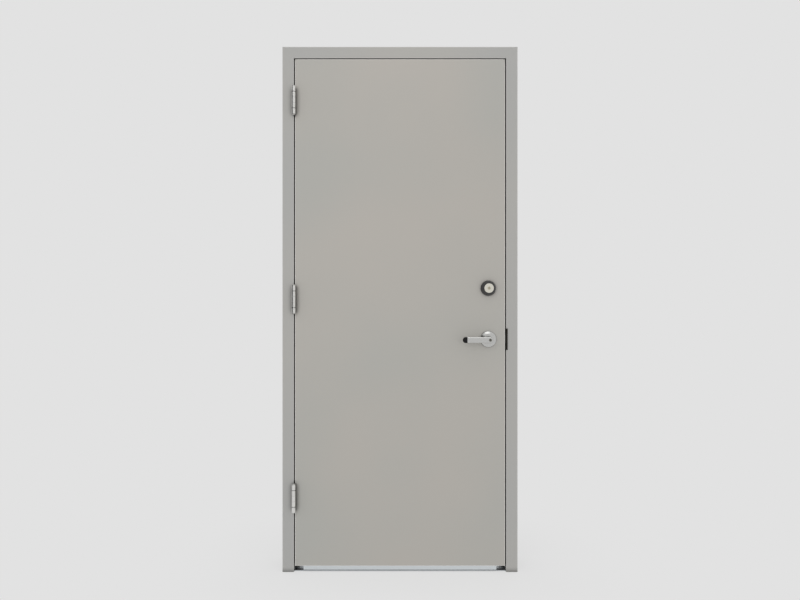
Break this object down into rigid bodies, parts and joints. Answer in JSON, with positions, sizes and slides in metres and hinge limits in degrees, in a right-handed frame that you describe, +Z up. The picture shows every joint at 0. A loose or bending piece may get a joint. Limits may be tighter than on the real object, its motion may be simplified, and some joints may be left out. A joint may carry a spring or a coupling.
{
  "type": "flush steel door in a pressed frame",
  "caption": "Flush hollow-metal door leaf on butt hinges in a mitred pressed-steel frame, with a keyed lever lock, a deadbolt, perimeter seals and a low saddle threshold.",
  "frame": {"origin": "on the floor, at the middle of the opening's width and of the frame's depth", "axes": "+X from the hinge side to the lock side, -Y toward the pull side, +Z up"},
  "size_m": [0.978, 0.207, 2.184],
  "materials": {
    "frame_paint": "baked grey enamel on pressed steel, satin",
    "galvanised_steel": "bare galvanised sheet, hidden in the wall and the leaf",
    "leaf_paint": "baked warm grey enamel on sheet steel, satin",
    "honeycomb_core": "bonded paper honeycomb",
    "mill_aluminium": "mill-finish extruded saddle",
    "satin_hinge_steel": "satin stainless",
    "bearing_steel": "polished bearing rings",
    "seal_rubber": "black extruded seal",
    "dark_strike_steel": "dark bronze plated steel",
    "satin_trim": "satin chromium plate",
    "zinc_works": "zinc plated lock works",
    "bolt_steel": "plated steel bolt",
    "dark_collar": "charcoal coated collar",
    "nickel_cylinder": "nickel plated brass",
    "black_tip": "black moulded cap"
  },
  "bodies": {
    "frame": {"hinge_jamb": "frame_paint", "strike_jamb": "frame_paint", "frame_head": "frame_paint", "threshold": "mill_aluminium", "corner_gussets": "galvanised_steel", "hinge_reinforcements": "galvanised_steel", "wall_anchors": "galvanised_steel", "floor_anchors": "galvanised_steel", "frame_hinge_screws": "satin_hinge_steel", "strike_screws": "dark_strike_steel", "hinge_pins": "satin_hinge_steel", "hinge_bearings": "bearing_steel", "gasket_hinge_side": "seal_rubber", "gasket_strike_side": "seal_rubber", "gasket_head": "seal_rubber", "top_hinge_frame_leaf": "satin_hinge_steel", "middle_hinge_frame_leaf": "satin_hinge_steel", "bottom_hinge_frame_leaf": "satin_hinge_steel", "strike_plate": "dark_strike_steel", "deadbolt_strike": "dark_strike_steel", "strike_box": "galvanised_steel", "deadbolt_strike_box": "galvanised_steel", "strike_reinforcements": "galvanised_steel"},
    "door": {"front_skin": "leaf_paint", "back_skin": "leaf_paint", "door_core": "honeycomb_core", "top_channel": "leaf_paint", "bottom_channel": "galvanised_steel", "leaf_hinge_reinforcements": "galvanised_steel", "lock_reinforcement": "galvanised_steel", "door_hinge_screws": "satin_hinge_steel", "top_hinge_door_leaf": "satin_hinge_steel", "middle_hinge_door_leaf": "satin_hinge_steel", "bottom_hinge_door_leaf": "satin_hinge_steel", "outside_rose": "satin_trim", "inside_rose": "satin_trim", "lock_chassis": "zinc_works", "lock_mounting_plates": "galvanised_steel", "lock_through_bolts": "zinc_works", "latch_case": "zinc_works", "latch_faceplate": "satin_trim", "deadbolt_case": "zinc_works", "deadbolt_faceplate": "satin_trim", "faceplate_screws": "satin_trim", "deadbolt_collar": "dark_collar", "deadbolt_cylinder": "nickel_cylinder", "thumbturn_rose": "satin_trim", "thumbturn_screws": "satin_trim"},
    "outside_lever": {"outside_lever": "satin_trim", "outside_lever_tip": "black_tip"},
    "inside_lever": {"inside_lever": "satin_trim", "inside_lever_tip": "black_tip"},
    "lever_key_plug": {"lever_key_plug": "nickel_cylinder"},
    "inside_turn_button": {"inside_turn_button": "satin_trim"},
    "latch_bolt": {"latch_bolt": "bolt_steel"},
    "deadbolt_bolt": {"deadbolt_bolt": "bolt_steel"},
    "deadbolt_key_plug": {"deadbolt_key_plug": "nickel_cylinder"},
    "thumbturn": {"thumbturn": "satin_trim"}
  },
  "joints": [
    {"name": "door_swing", "type": "hinge", "parent": "frame", "child": "door", "pos_m": [-0.439, -0.092, 1.134], "axis": [0, 0, -1], "range_deg": [0, 175]},
    {"name": "outside_lever_turn", "type": "hinge", "parent": "door", "child": "outside_lever", "pos_m": [0.367, -0.073, 0.968], "axis": [0, -1, 0], "range_deg": [0, 45]},
    {"name": "inside_lever_turn", "type": "hinge", "parent": "door", "child": "inside_lever", "pos_m": [0.367, -0.0285, 0.968], "axis": [0, -1, 0], "range_deg": [0, 45]},
    {"name": "latch_slide", "type": "slide", "parent": "door", "child": "latch_bolt", "axis": [1, 0, 0], "range_m": [-0.0127, 0]},
    {"name": "lever_key_turn", "type": "hinge", "parent": "outside_lever", "child": "lever_key_plug", "pos_m": [0.367, -0.133, 0.968], "axis": [0, -1, 0], "range_deg": [0, 90]},
    {"name": "inside_button_turn", "type": "hinge", "parent": "inside_lever", "child": "inside_turn_button", "pos_m": [0.367, 0.0315, 0.968], "axis": [0, 1, 0], "range_deg": [0, 90]},
    {"name": "thumbturn_turn", "type": "hinge", "parent": "door", "child": "thumbturn", "pos_m": [0.367, -0.0285, 1.18], "axis": [0, 1, 0], "range_deg": [0, 90]},
    {"name": "deadbolt_slide", "type": "slide", "parent": "door", "child": "deadbolt_bolt", "axis": [1, 0, 0], "range_m": [0, 0.0254]},
    {"name": "deadbolt_key_turn", "type": "hinge", "parent": "door", "child": "deadbolt_key_plug", "pos_m": [0.367, -0.073, 1.18], "axis": [0, -1, 0], "range_deg": [0, 90]}
  ],
  "couplings": [
    {"joint": "inside_lever_turn", "follows": "outside_lever_turn", "ratio": 1},
    {"joint": "latch_slide", "follows": "outside_lever_turn", "m_per_rad": -0.01617},
    {"joint": "deadbolt_slide", "follows": "thumbturn_turn", "m_per_rad": 0.01617}
  ]
}
